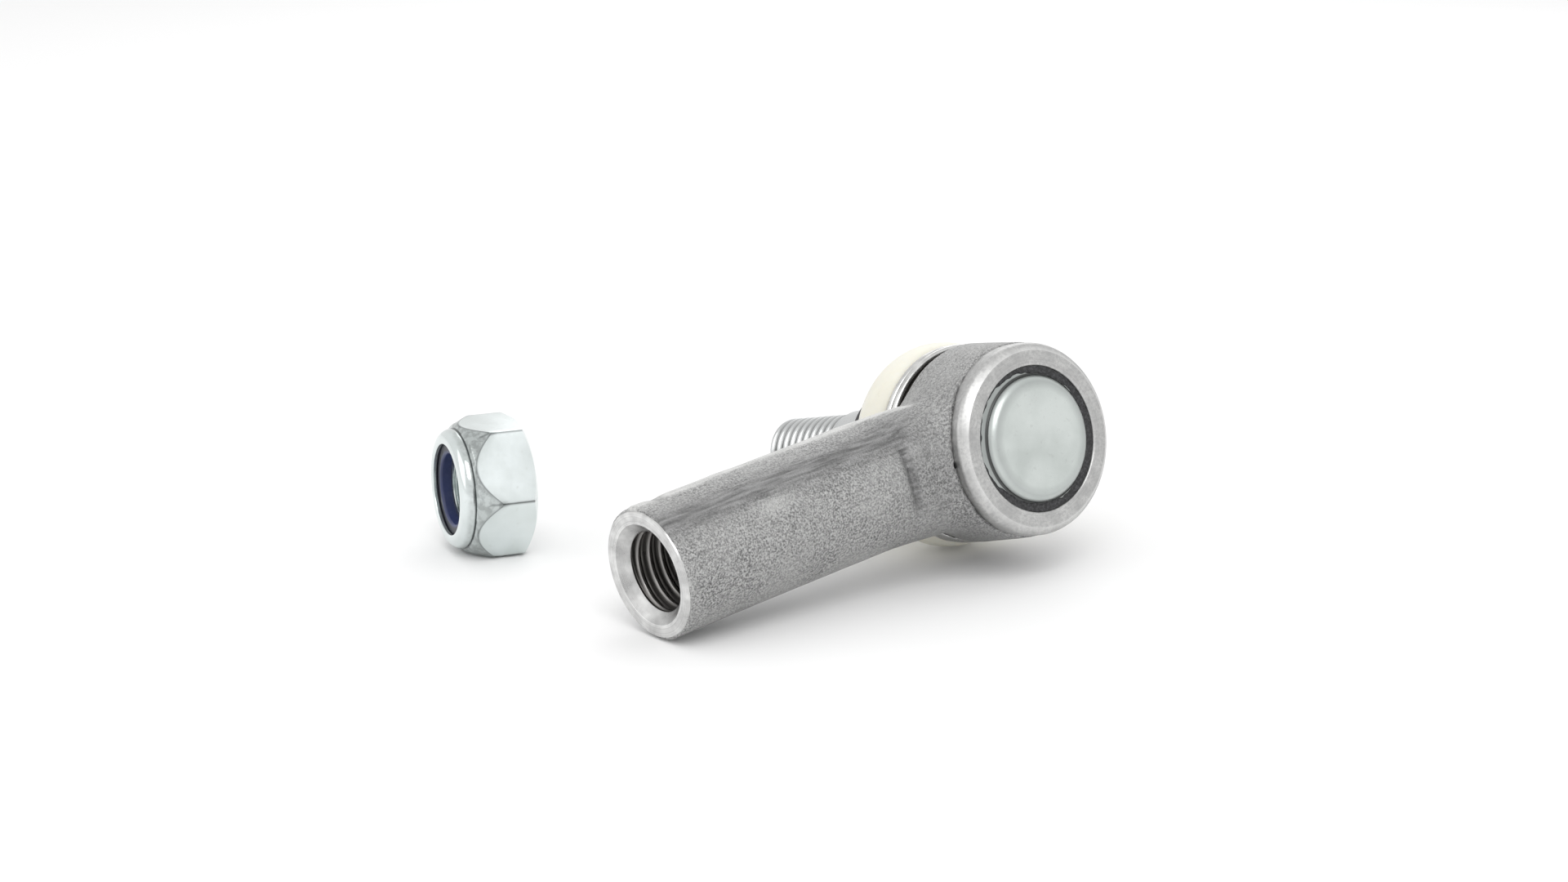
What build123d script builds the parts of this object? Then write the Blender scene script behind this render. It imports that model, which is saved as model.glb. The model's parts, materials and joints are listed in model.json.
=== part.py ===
from build123d import *
from math import cos, radians, sin, sqrt, tan
import os

# Ball joint rod end with a threaded socket shank, a sealed ball stud and a loose lock nut.
# The joint lies on a flat surface: the stud tip, the boot and the shank's end touch it.
# Millimetres. +Z is up and the shank runs towards -X.

# Lie of the joint on the surface
ball_centre = Vector(20.96, -19.64, 15.31)
shank_dip = 7.5
stud_dip = 14.8

# Threads: an M12 x 1.75 socket in the shank, and an M10 x 1.5 stud with its nut
socket_tap_radius = 5.1
socket_drill_depth = 31.0
drill_point_slope = 31
stud_thread_radius = 5.0
nut_tap_radius = 4.25

# Shank, measured along its own axis from the ball's centre
shank_radius = 8.25
shank_reach = 55.0
shank_edge_chamfer = 0.4
countersink_radius = 6.48

# Small edges, and how far a cutting outline runs past an open end
soft_edge = 0.3
end_margin = 1.0

# Head of the housing, measured along the stud axis (heights) and from it (radii)
head_radius = 13.05
head_low_radius = 12.55
head_top = 0.8
head_rim_bevel = 0.6
collar_radius = 12.35
collar_edge_round = 0.9
collar_start = -8.3
lip_height = -11.25
lip_radius = 9.35
lip_thickness = 1.2
cavity_radius = 9.9
cavity_shoulder = 1.4
mouth_radius = 7.7
mouth_height = 5.2
mouth_cone_share = 0.8
boot_seat_radius = 11.3
boot_groove_radius = 10.8
boot_groove_start = 1.6
boot_groove_end = 4.4

# Neck between the head and the shank
neck_root = 6.0
neck_root_centre = -4.0
neck_root_half_height = 4.9
neck_root_half_width = 8.4
neck_end = 21.0
neck_relief = 0.9

# Ball stud
ball_radius = 8.0
ball_flat = -7.1
stud_neck_radius = 4.2
stud_neck_end = 9.5
stud_neck_round = 0.8
taper_land = 2.0
taper_land_round = 0.5
thread_step = 0.4
taper_start = 14.0
taper_end = 26.0
taper_start_radius = 6.0
taper_end_radius = 5.4
stud_tip = 41.7
stud_tip_chamfer = 0.8

# Bearing shells, spring, cap and cap seal
ball_clearance = 0.03
shell_radius = 9.85
shell_split = 0.3
shell_gap = 0.4
shoulder_gap = 0.05
shell_top = 4.4
cup_bottom = -9.0
cup_seat_step = 0.8
cup_bevel = 1.2
cap_rim_radius = 9.8
cap_thickness = 1.0
cap_top = -12.0
cap_raised_radius = 8.05
cap_corner_radius = 1.2
spring_outer_radius = 6.6
spring_inner_radius = 3.0
spring_thickness = 0.7
spring_edge = 0.5
seal_top = -10.85

# Dust boot and its two rings
boot_wall = 1.3
boot_lip_radius = 12.05
boot_lip_bottom = 1.0
boot_lip_top = 4.95
boot_bulge_radius = 13.56
boot_bulge_height = 7.6
boot_dome_centre = 4.2
boot_dome_height = 6.9
boot_neck_radius = 7.55
boot_neck_bore = 6.15
boot_lip_slope = 0.6
boot_dome_slope = 0.35
boot_end = 18.2
boot_gap = 0.08
clamp_wire_radius = 0.48
clamp_wire_heights = (3.5, 4.36)
neck_ring_height = 16.6
neck_ring_depth = 1.3
neck_ring_wall = 0.55
neck_ring_edge = 0.2

# Lock nut, measured from its bearing face along its own axis
nut_position = (-44.2, 42.3)
nut_yaw = 163.6
nut_across_flats = 17.0
nut_height = 10.0
nut_hex_height = 8.3
nut_face_height = 7.95
nut_flare_slope = 66
nut_bearing_radius = 8.1
nut_chamfer_slope = 30
nut_mouth_depth = 1.15
nut_collar_round = 1.1
nut_collar_step = 0.1
collar_overlap = 0.5
chamfer_margin = 0.2
nut_collar_radius = 7.8
nut_mouth_radius = 6.05
nut_pocket_radius = 6.5
nut_pocket_start = 7.8
nut_pocket_end = 9.35
insert_bore_radius = 4.65
insert_edge = 0.25

# Directions of the two axes, and the planes the outlines are drawn in
shank_axis = Vector(-cos(radians(shank_dip)), 0, -sin(radians(shank_dip)))
stud_drop = sin(radians(stud_dip))
stud_side = stud_drop * tan(radians(shank_dip))
stud_axis = Vector(stud_side, sqrt(1 - stud_drop**2 - stud_side**2), -stud_drop)
stud_line = Axis(ball_centre, stud_axis)
shank_line = Axis(ball_centre, shank_axis)
stud_profile = Plane(ball_centre, x_dir=shank_axis, z_dir=shank_axis.cross(stud_axis))
shank_profile = Plane(ball_centre, x_dir=stud_axis, z_dir=stud_axis.cross(shank_axis))
shank_plane = Plane(ball_centre, x_dir=stud_axis, z_dir=shank_axis)

nut_axis = Vector(cos(radians(nut_yaw)), sin(radians(nut_yaw)), 0)
nut_base = Vector(
    ball_centre.X + nut_position[0], ball_centre.Y + nut_position[1], nut_across_flats / 2
)
nut_line = Axis(nut_base, nut_axis)
nut_plane = Plane(nut_base, x_dir=Vector(0, 0, 1), z_dir=nut_axis)
nut_profile = Plane(nut_base, x_dir=Vector(0, 0, 1), z_dir=Vector(0, 0, 1).cross(nut_axis))

os.makedirs("parts", exist_ok=True)


def outline(plane, corners):
    """Closed face on a plane from (across, along, rounding) corners."""
    with BuildSketch(plane) as face:
        with BuildLine():
            Polyline(*[(across, along) for across, along, rounding in corners], close=True)
        make_face()
        for across, along, rounding in corners:
            if rounding > 0:
                fillet(face.vertices().sort_by_distance((across, along, 0))[0], rounding)
    return face.sketch


def finish(piece, label):
    """Name a finished piece and write it."""
    piece.part.label = label
    export_step(piece.part, f"parts/{label}.step")


# Forged housing: a round head with a turned cap seat, drawn into a socket shank.
lip_inner_face = lip_height + lip_thickness
mouth_corner = head_top + (mouth_height - head_top) * mouth_cone_share
with BuildPart() as housing:
    # The neck blends from a flat oval inside the head to the round shank.
    with BuildSketch(shank_plane.offset(neck_root)):
        with Locations((neck_root_centre, 0)):
            Ellipse(neck_root_half_height, neck_root_half_width)
    with BuildSketch(shank_plane.offset(neck_end)):
        Circle(shank_radius)
    loft()
    with BuildSketch(shank_plane.offset(neck_end)):
        Circle(shank_radius)
    extrude(amount=shank_reach - neck_end)
    end_edges = housing.edges().filter_by(GeomType.CIRCLE).sort_by(shank_line)
    chamfer(end_edges[-1], shank_edge_chamfer)
    # The neck is cut away round the boot, which swells out above the head.
    revolve(
        outline(
            stud_profile,
            [
                (0, head_top, 0),
                (head_radius + neck_relief, head_top, 0),
                (head_radius + 2 * neck_relief, boot_bulge_height, 0),
                (0, boot_bulge_height + end_margin, 0),
            ],
        ),
        axis=stud_line,
        mode=Mode.SUBTRACT,
    )
    revolve(
        outline(
            stud_profile,
            [
                (0, lip_height, 0),
                (collar_radius, lip_height, collar_edge_round),
                (collar_radius, collar_start, 0),
                (head_low_radius, collar_start, 0),
                (head_radius, head_top - soft_edge, 0),
                (head_radius - head_rim_bevel, head_top, soft_edge),
                (boot_seat_radius, head_top, 0),
                (boot_seat_radius, boot_groove_start, 0),
                (boot_groove_radius, boot_groove_start, 0),
                (boot_groove_radius, boot_groove_end, 0),
                (boot_seat_radius, boot_groove_end, 0),
                (boot_seat_radius, mouth_height, soft_edge),
                (0, mouth_height, 0),
            ],
        ),
        axis=stud_line,
    )
    # Cavity for the shells, the ball, the spring and the cap, open at both ends.
    revolve(
        outline(
            stud_profile,
            [
                (0, lip_height - end_margin, 0),
                (lip_radius, lip_height - end_margin, 0),
                (lip_radius, lip_inner_face, 0),
                (cavity_radius, lip_inner_face, 0),
                (cavity_radius, cavity_shoulder, 0),
                (mouth_radius, mouth_corner, 0),
                (mouth_radius, mouth_height + end_margin, 0),
                (0, mouth_height + end_margin, 0),
            ],
        ),
        axis=stud_line,
        mode=Mode.SUBTRACT,
    )
    # Tapped socket with its countersunk mouth and drill point.
    socket_end = shank_reach - socket_drill_depth
    revolve(
        outline(
            shank_profile,
            [
                (0, shank_reach + end_margin, 0),
                (countersink_radius + end_margin, shank_reach + end_margin, 0),
                (socket_tap_radius, shank_reach - (countersink_radius - socket_tap_radius), 0),
                (socket_tap_radius, socket_end, 0),
                (0, socket_end - socket_tap_radius * tan(radians(drill_point_slope)), 0),
            ],
        ),
        axis=shank_line,
        mode=Mode.SUBTRACT,
    )
finish(housing, "housing")

# Ball stud: ball with a flat, narrow neck, 1 in 10 taper and threaded end.
with BuildPart() as ball_stud:
    with Locations(ball_centre):
        Sphere(ball_radius)
    revolve(
        outline(
            stud_profile,
            [
                (0, 0, 0),
                (stud_neck_radius, 0, 0),
                (stud_neck_radius, stud_neck_end, stud_neck_round),
                (taper_start_radius, taper_start - taper_land, taper_land_round),
                (taper_start_radius, taper_start, 0),
                (taper_end_radius, taper_end, 0),
                (stud_thread_radius, taper_end + thread_step, 0),
                (stud_thread_radius, stud_tip - stud_tip_chamfer, 0),
                (stud_thread_radius - stud_tip_chamfer, stud_tip, 0),
                (0, stud_tip, 0),
            ],
        ),
        axis=stud_line,
    )
    revolve(
        outline(
            stud_profile,
            [
                (0, -ball_radius - end_margin, 0),
                (ball_radius, -ball_radius - end_margin, 0),
                (ball_radius, ball_flat, 0),
                (0, ball_flat, 0),
            ],
        ),
        axis=stud_line,
        mode=Mode.SUBTRACT,
    )
finish(ball_stud, "ball_stud")

# Upper bearing shell, seated on the cavity's shoulder.
with BuildPart() as bearing_shell_upper:
    revolve(
        outline(
            stud_profile,
            [
                (0, shell_split, 0),
                (shell_radius, shell_split, 0),
                (shell_radius, cavity_shoulder - shoulder_gap, 0),
                (mouth_radius - shoulder_gap, mouth_corner - shoulder_gap, 0),
                (mouth_radius - shoulder_gap, shell_top, 0),
                (0, shell_top, 0),
            ],
        ),
        axis=stud_line,
    )
    with Locations(ball_centre):
        Sphere(ball_radius + ball_clearance, mode=Mode.SUBTRACT)
finish(bearing_shell_upper, "bearing_shell_upper")

# Lower bearing cup under the ball, pushed up by the spring.
with BuildPart() as bearing_cup_lower:
    revolve(
        outline(
            stud_profile,
            [
                (0, cup_bottom, 0),
                (cap_raised_radius - cup_seat_step, cup_bottom, 0),
                (shell_radius, cup_bottom + cup_bevel, 0),
                (shell_radius, shell_split - shell_gap, 0),
                (0, shell_split - shell_gap, 0),
            ],
        ),
        axis=stud_line,
    )
    with Locations(ball_centre):
        Sphere(ball_radius + ball_clearance, mode=Mode.SUBTRACT)
finish(bearing_cup_lower, "bearing_cup_lower")

# Pressed cap: a flat rim held under the rolled lip and a raised middle.
cap_rim_top = lip_inner_face
cap_rim_bottom = cap_rim_top + cap_thickness
with BuildPart() as end_cap:
    revolve(
        outline(
            stud_profile,
            [
                (0, cap_top, 0),
                (cap_raised_radius, cap_top, cap_corner_radius),
                (cap_raised_radius, cap_rim_top, 0),
                (cap_rim_radius, cap_rim_top, 0),
                (cap_rim_radius, cap_rim_bottom, 0),
                (cap_raised_radius - cap_thickness, cap_rim_bottom, 0),
                (cap_raised_radius - cap_thickness, cap_top + cap_thickness, 0),
                (0, cap_top + cap_thickness, 0),
            ],
        ),
        axis=stud_line,
    )
finish(end_cap, "end_cap")

# Sealing ring pressed in between the rolled lip and the raised middle of the cap.
with BuildPart() as cap_seal:
    revolve(
        outline(
            stud_profile,
            [
                (cap_raised_radius, seal_top, 0),
                (lip_radius, seal_top, 0),
                (lip_radius, cap_rim_top, 0),
                (cap_raised_radius, cap_rim_top, 0),
            ],
        ),
        axis=stud_line,
    )
finish(cap_seal, "cap_seal")

# Conical disc spring between the cap and the lower cup.
spring_low = cap_top + cap_thickness
with BuildPart() as disc_spring:
    revolve(
        outline(
            stud_profile,
            [
                (spring_inner_radius, spring_low, 0),
                (spring_inner_radius + spring_edge, spring_low, 0),
                (spring_outer_radius, cup_bottom - spring_thickness, 0),
                (spring_outer_radius, cup_bottom, 0),
                (spring_outer_radius - spring_edge, cup_bottom, 0),
                (spring_inner_radius, spring_low + spring_thickness, 0),
            ],
        ),
        axis=stud_line,
    )
finish(disc_spring, "disc_spring")

# Dust boot: a domed rubber shell, clamped round the housing and gripping the stud.
dome_width = boot_bulge_radius - boot_dome_centre
dome_join = sqrt(1 - ((boot_neck_radius - boot_dome_centre) / dome_width) ** 2)
bore_width = dome_width - boot_wall
bore_join = sqrt(1 - ((boot_neck_bore - boot_dome_centre) / bore_width) ** 2)


def dome(radius_x, radius_y, neck_radius, join):
    """Elliptical quarter of the dome, from the bulge up to the neck."""
    neck_point = (neck_radius, boot_bulge_height + radius_y * join)
    bulge_point = (boot_dome_centre + radius_x, boot_bulge_height)
    half = 0.5 * (neck_radius - boot_dome_centre + radius_x)
    middle = (
        boot_dome_centre + half,
        boot_bulge_height + radius_y * sqrt(1 - (half / radius_x) ** 2),
    )
    return bulge_point, middle, neck_point


outer_dome = dome(dome_width, boot_dome_height, boot_neck_radius, dome_join)
inner_dome = dome(bore_width, boot_dome_height - boot_wall, boot_neck_bore, bore_join)
with BuildPart() as dust_boot:
    with BuildSketch(stud_profile):
        with BuildLine():
            Line((0, boot_lip_bottom), (boot_lip_radius, boot_lip_bottom))
            Line((boot_lip_radius, boot_lip_bottom), (boot_lip_radius, boot_lip_top))
            TangentArc((boot_lip_radius, boot_lip_top), outer_dome[0], tangent=(1, boot_lip_slope))
            Spline(*outer_dome, tangents=((0, 1), (-1, boot_dome_slope)))
            Line(outer_dome[2], (boot_neck_radius, boot_end))
            Line((boot_neck_radius, boot_end), (0, boot_end))
            Line((0, boot_end), (0, boot_lip_bottom))
        make_face()
    revolve(axis=stud_line)
    with BuildSketch(stud_profile):
        with BuildLine():
            seat = boot_seat_radius + boot_gap
            bead = boot_groove_radius + boot_gap
            Polyline(
                (0, boot_lip_bottom - end_margin),
                (seat, boot_lip_bottom - end_margin),
                (seat, boot_groove_start + boot_gap),
                (bead, boot_groove_start + boot_gap),
                (bead, boot_groove_end - boot_gap),
                (seat, boot_groove_end - boot_gap),
                (seat, mouth_height + soft_edge),
                inner_dome[0],
            )
            Spline(*inner_dome, tangents=((0, 1), (-1, boot_dome_slope)))
            Line(inner_dome[2], (boot_neck_bore, boot_end + end_margin))
            Line((boot_neck_bore, boot_end + end_margin), (0, boot_end + end_margin))
            Line((0, boot_end + end_margin), (0, boot_lip_bottom - end_margin))
        make_face()
    revolve(axis=stud_line, mode=Mode.SUBTRACT)
finish(dust_boot, "dust_boot")

# Spring wire clamp of two close turns round the boot's lip.
clamp_radius = boot_lip_radius + clamp_wire_radius + boot_gap / 2
with BuildPart() as boot_clamp_ring:
    with BuildSketch(stud_profile):
        for turn_height in clamp_wire_heights:
            with Locations((clamp_radius, turn_height)):
                Circle(clamp_wire_radius)
    revolve(axis=stud_line)
finish(boot_clamp_ring, "boot_clamp_ring")

# Elastic ring that holds the boot's small end on the stud.
ring_bore = boot_neck_radius + boot_gap
neck_ring_top = neck_ring_height + neck_ring_depth
with BuildPart() as boot_neck_ring:
    revolve(
        outline(
            stud_profile,
            [
                (ring_bore, neck_ring_height, 0),
                (ring_bore + neck_ring_wall, neck_ring_height, neck_ring_edge),
                (ring_bore + neck_ring_wall, neck_ring_top, neck_ring_edge),
                (ring_bore, neck_ring_top, 0),
            ],
        ),
        axis=stud_line,
    )
finish(boot_neck_ring, "boot_neck_ring")

# Lock nut: chamfered hexagon with a rolled collar that holds the insert.
hex_corner = nut_across_flats / sqrt(3)
chamfer_radius = hex_corner + chamfer_margin
chamfer_height = (chamfer_radius - nut_bearing_radius) * tan(radians(nut_chamfer_slope))
hex_inner = nut_across_flats / 2
flare_height = (chamfer_radius - hex_inner) * tan(radians(nut_flare_slope))
with BuildPart() as lock_nut:
    with BuildSketch(nut_plane):
        RegularPolygon(hex_inner, 6, major_radius=False, rotation=30)
    extrude(amount=nut_hex_height)
    revolve(
        outline(
            nut_profile,
            [
                (0, 0, 0),
                (nut_bearing_radius, 0, 0),
                (chamfer_radius, chamfer_height, 0),
                (chamfer_radius, nut_face_height - flare_height, 0),
                (hex_inner, nut_face_height, 0),
                (nut_collar_radius + nut_collar_step, nut_hex_height, 0),
                (0, nut_hex_height, 0),
            ],
        ),
        axis=nut_line,
        mode=Mode.INTERSECT,
    )
    revolve(
        outline(
            nut_profile,
            [
                (0, nut_hex_height - collar_overlap, 0),
                (nut_collar_radius, nut_hex_height - collar_overlap, 0),
                (nut_collar_radius, nut_height, nut_collar_round),
                (0, nut_height, 0),
            ],
        ),
        axis=nut_line,
    )
    revolve(
        outline(
            nut_profile,
            [
                (0, -end_margin, 0),
                (nut_mouth_depth + nut_tap_radius + end_margin, -end_margin, 0),
                (nut_tap_radius, nut_mouth_depth, 0),
                (nut_tap_radius, nut_pocket_start, 0),
                (nut_pocket_radius, nut_pocket_start, 0),
                (nut_pocket_radius, nut_pocket_end, 0),
                (nut_mouth_radius, nut_pocket_end, 0),
                (nut_mouth_radius, nut_height + end_margin, 0),
                (0, nut_height + end_margin, 0),
            ],
        ),
        axis=nut_line,
        mode=Mode.SUBTRACT,
    )
finish(lock_nut, "lock_nut")

# Locking insert ring held in the collar.
with BuildPart() as nut_insert:
    revolve(
        outline(
            nut_profile,
            [
                (insert_bore_radius, nut_pocket_start, 0),
                (nut_pocket_radius, nut_pocket_start, 0),
                (nut_pocket_radius, nut_pocket_end, 0),
                (insert_bore_radius, nut_pocket_end, insert_edge),
            ],
        ),
        axis=nut_line,
    )
finish(nut_insert, "nut_insert")
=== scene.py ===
import json
import math

import bmesh
import bpy
import numpy as np
from mathutils import Matrix, Vector


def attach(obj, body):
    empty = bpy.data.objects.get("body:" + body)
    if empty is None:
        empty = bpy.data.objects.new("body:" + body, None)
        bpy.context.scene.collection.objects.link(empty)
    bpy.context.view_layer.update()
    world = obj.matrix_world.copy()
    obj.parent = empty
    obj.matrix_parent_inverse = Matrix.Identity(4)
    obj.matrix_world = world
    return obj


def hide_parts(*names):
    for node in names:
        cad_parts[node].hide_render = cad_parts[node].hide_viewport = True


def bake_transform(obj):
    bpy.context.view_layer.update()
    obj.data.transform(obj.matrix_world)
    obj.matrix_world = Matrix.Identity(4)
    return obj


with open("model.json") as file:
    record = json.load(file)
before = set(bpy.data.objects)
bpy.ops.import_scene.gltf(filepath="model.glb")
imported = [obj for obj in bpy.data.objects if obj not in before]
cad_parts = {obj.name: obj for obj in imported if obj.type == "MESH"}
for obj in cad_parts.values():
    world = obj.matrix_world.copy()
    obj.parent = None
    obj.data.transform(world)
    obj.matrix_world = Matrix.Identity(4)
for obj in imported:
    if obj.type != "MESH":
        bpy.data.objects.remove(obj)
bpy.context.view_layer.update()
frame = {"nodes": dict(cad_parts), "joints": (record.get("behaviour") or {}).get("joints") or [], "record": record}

# ---------------------------------------------------------------------------------------------
# Forged body: head, neck and shank in one drop-forged, shot-blasted piece of carbon steel. The
# trimmed flash leaves a narrow land along both sides, and the head and shank are bored out.
# ---------------------------------------------------------------------------------------------
# Outlines are drawn in millimetres about the stud's or the shank's axis, which come from the joints.
MM = 0.001
joints = {joint["name"]: joint for joint in frame["joints"]}
ball_centre = Vector(joints["stud_spin"]["pos_m"])
along_stud = Vector(joints["stud_spin"]["axis"]).normalized()
along_shank = Vector(joints["stud_tilt_sideways"]["axis"]).normalized()


def frame_of(origin, across, along):
    """Matrix of a local frame whose X runs across and whose Z runs along an axis."""
    side = along.cross(across)
    turn = Matrix((across, side, along)).transposed().to_4x4()
    return Matrix.Translation(origin) @ turn


stud_frame = frame_of(ball_centre, along_shank, along_stud)
shank_frame = frame_of(ball_centre, along_stud, along_shank)

shank_radius = 8.3
shank_end = 54.75
head_radius = 13.0
head_draft = 0.055
head_low = -8.35
head_high = 0.8
neck_flat_half_height = 4.75
neck_flat_centre = -3.95
neck_start = 8.0
neck_end = 21.5
neck_blend = 3.2
bore_radius = 10.15
socket_radius = 7.0
socket_depth = 33.0
flash_half_width = 1.15
flash_height = 0.3
flash_wander = 0.25
crease_place = 18.5
crease_depth = 0.62
crease_middle = 0.5
crease_half_length = 4.3
crease_bow = 0.012
chip_place = 51.2
die_wear, blast_pits = 0.05, 0.018
torn_radius, torn_width, torn_depth = 12.5, 0.5, 0.14
collar_cut_radius, collar_cut_top = 12.3, -8.28
boot_gap_radius, boot_gap_flare = 14.2, 0.25
skin_margin, skin_end = 9.3, 55.6
skin_step = 0.32


def smooth_step(value, low, high):
    """0 below low, 1 above high, with a soft change between."""
    share = np.clip((value - low) / (high - low), 0, 1)
    return share * share * (3 - 2 * share)


def bell(value, middle, width, power=2):
    """1 at the middle, falling to 0 on both sides. A higher power gives a flatter top."""
    return np.exp(-(((value - middle) / width) ** power))


def soft_union(first, second, radius):
    """Distance field of two solids joined by a fillet."""
    share = np.clip(0.5 + 0.5 * (second - first) / radius, 0, 1)
    return second + (first - second) * share - radius * share * (1 - share)


def waves(points, size, seed):
    """Smooth irregular height, -1 to 1, from a few crossing waves."""
    random = np.random.default_rng(seed)
    height = np.zeros(points.shape[:-1])
    for _ in range(6):
        direction = random.normal(size=3)
        direction *= 2 * math.pi / (size * random.uniform(0.7, 1.5) * np.linalg.norm(direction))
        height += np.sin(points @ direction + random.uniform(0, 2 * math.pi))
    return height / 6


def flash_land(x, y, z):
    """Share, 0 to 1, of the trimmed flash land that runs along both sides of the shank."""
    wander = flash_wander * np.sin(x * 0.21)
    parting = neck_flat_centre * (1 - smooth_step(x, neck_start, neck_end)) + wander
    band = bell(z, parting, flash_half_width, 4)
    chip = 1 - 0.9 * bell(x, chip_place, 0.8)
    return band * chip * smooth_step(np.abs(y), 4.0, 7.0) * smooth_step(x, 11.5, 14.0)


def die_crease(x, y, z):
    """Share, 0 to 1, of the shallow die crease that crosses the flat of the neck."""
    line = bell(x - crease_place + crease_bow * (y - crease_middle) ** 2, 0.0, 0.75)
    return line * smooth_step(-z, 4.0, 6.0) * bell(y, crease_middle, crease_half_length, 4)


def forged_body(points):
    """Distance field of the forging, in the stud's frame."""
    x, y, z = points[..., 0], points[..., 1], points[..., 2]
    share = smooth_step(x, neck_start, neck_end)
    half_height = neck_flat_half_height + (shank_radius - neck_flat_half_height) * share
    centre = neck_flat_centre * (1 - share)
    power = 3.0 - share
    lobe = np.abs(y / shank_radius) ** power + np.abs((z - centre) / half_height) ** power
    bar = np.maximum((lobe ** (1 / power) - 1) * half_height, -x)
    # The drop flash was trimmed off one side less closely than off the other.
    land = flash_land(x, y, z)
    bar -= flash_height * land * np.where(y > 0, 1.0, 0.35) * (1 + 0.3 * waves(points, 5.0, 8))
    middle = 0.5 * (head_low + head_high)
    half = 0.5 * (head_high - head_low)
    edge = 0.35
    from_axis = np.hypot(x, y)
    radial = from_axis - (head_radius - head_draft * (head_high - z)) + edge
    axial = np.abs(z - middle) - half + edge
    head = np.minimum(np.maximum(radial, axial), 0) - edge
    head += np.hypot(np.maximum(radial, 0), np.maximum(axial, 0))
    body = soft_union(bar, head, neck_blend)
    body += crease_depth * die_crease(x, y, z)
    # Fine unevenness left by the dies and the blasting, coarser where the lathe tore the skin.
    body += die_wear * waves(points, 9.0, 2) + blast_pits * waves(points, 1.7, 3)
    torn = bell(from_axis, torn_radius, torn_width) * smooth_step(-z, 7.6, 8.4)
    body += torn_depth * torn * waves(points, 1.1, 9)
    end_edge = 0.35
    rough_end = shank_end + 0.07 * waves(points, 3.0, 5)
    over = np.maximum(body + end_edge, 0)
    past = np.maximum(x - rough_end + end_edge, 0)
    body = np.where(
        (over > 0) & (past > 0),
        np.hypot(over, past) - end_edge,
        np.maximum(body, x - rough_end),
    )
    # Clear of the boot above the head, cut back by the collar, bored for the joint and socket.
    gap_edge = boot_gap_radius + boot_gap_flare * (z - head_high)
    body = np.maximum(body, -np.maximum(head_high - z, from_axis - gap_edge))
    body = np.maximum(body, -np.maximum(from_axis - collar_cut_radius, z - collar_cut_top))
    body = np.maximum(body, bore_radius - from_axis)
    socket = np.maximum(np.hypot(y, z) - socket_radius, shank_end - socket_depth - x)
    return np.maximum(body, -socket)


def skin(solid, low, high, step):
    """Quads over the surface of a distance field, with their points drawn onto it."""
    ticks = [np.arange(low[k], high[k] + step, step) for k in range(3)]
    grid = np.stack(np.meshgrid(*ticks, indexing="ij"), -1)
    value = solid(grid)
    inside = value < 0
    count = [size - 1 for size in value.shape]
    corners = [(i, j, k) for i in (0, 1) for j in (0, 1) for k in (0, 1)]
    views = {
        c: value[c[0]:c[0] + count[0], c[1]:c[1] + count[1], c[2]:c[2] + count[2]]
        for c in corners
    }
    filled = sum((views[c] < 0).astype(int) for c in corners)
    mixed = (filled > 0) & (filled < 8)
    number = np.full(mixed.shape, -1)
    number[mixed] = np.arange(mixed.sum())
    place = np.zeros((int(mixed.sum()), 3))
    hits = np.zeros(int(mixed.sum()))
    for first in corners:
        for axis in range(3):
            if first[axis] == 1:
                continue
            second = tuple(1 if k == axis else first[k] for k in range(3))
            one, two = views[first][mixed], views[second][mixed]
            cross = (one < 0) != (two < 0)
            share = np.where(cross, one / np.where(cross, one - two, 1), 0)
            point = np.tile(np.array(first, float), (len(one), 1))
            point[:, axis] = share
            place += np.where(cross[:, None], point, 0)
            hits += cross
    origin = np.argwhere(mixed).astype(float)
    verts = np.array(low) + (origin + place / hits[:, None]) * step
    quads = []
    for axis in range(3):
        u, v = (axis + 1) % 3, (axis + 2) % 3
        lower = np.take(inside, range(0, inside.shape[axis] - 1), axis)
        upper = np.take(inside, range(1, inside.shape[axis]), axis)
        crossing = np.argwhere(lower != upper)
        fits = (crossing[:, u] > 0) & (crossing[:, v] > 0)
        fits &= (crossing[:, u] < count[u]) & (crossing[:, v] < count[v])
        crossing = crossing[fits]
        leaving = lower[tuple(crossing.T)]
        ring = []
        for du, dv in ((-1, -1), (0, -1), (0, 0), (-1, 0)):
            cell = crossing.copy()
            cell[:, u] += du
            cell[:, v] += dv
            ring.append(number[tuple(cell.T)])
        ring = np.stack(ring, 1)
        ring[~leaving] = ring[~leaving][:, ::-1]
        quads.append(ring)
    quads = np.concatenate(quads)
    reach = 0.02
    for _ in range(5):
        # Even out the quads, then draw each point back onto the surface.
        total = np.zeros_like(verts)
        near = np.zeros(len(verts))
        centre = verts[quads].mean(1)
        for k in range(4):
            np.add.at(total, quads[:, k], centre)
            np.add.at(near, quads[:, k], 1)
        verts = 0.5 * verts + 0.5 * total / near[:, None]
        for _ in range(2):
            here = solid(verts)
            slope = np.stack(
                [
                    (solid(verts + reach * unit) - solid(verts - reach * unit)) / (2 * reach)
                    for unit in np.eye(3)
                ],
                1,
            )
            size = np.maximum((slope**2).sum(1), 0.1)
            verts -= np.clip(here / size, -0.3 * step, 0.3 * step)[:, None] * slope
    return verts, quads


def laid_mesh(name, verts, faces, place):
    """Object from points in millimetres in a local frame, laid in place in metres."""
    mesh = bpy.data.meshes.new(name)
    mesh.from_pydata((np.asarray(verts) * MM).tolist(), [], [list(map(int, f)) for f in faces])
    mesh.transform(place)
    mesh.validate()
    mesh.shade_smooth()
    piece = bpy.data.objects.new(name, mesh)
    bpy.context.scene.collection.objects.link(piece)
    return piece


def stain(piece, name, values):
    """Stores one number per vertex for the material to read."""
    layer = piece.data.attributes.new(name, "FLOAT", "POINT")
    layer.data.foreach_set("value", np.asarray(values, np.float32))


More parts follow.
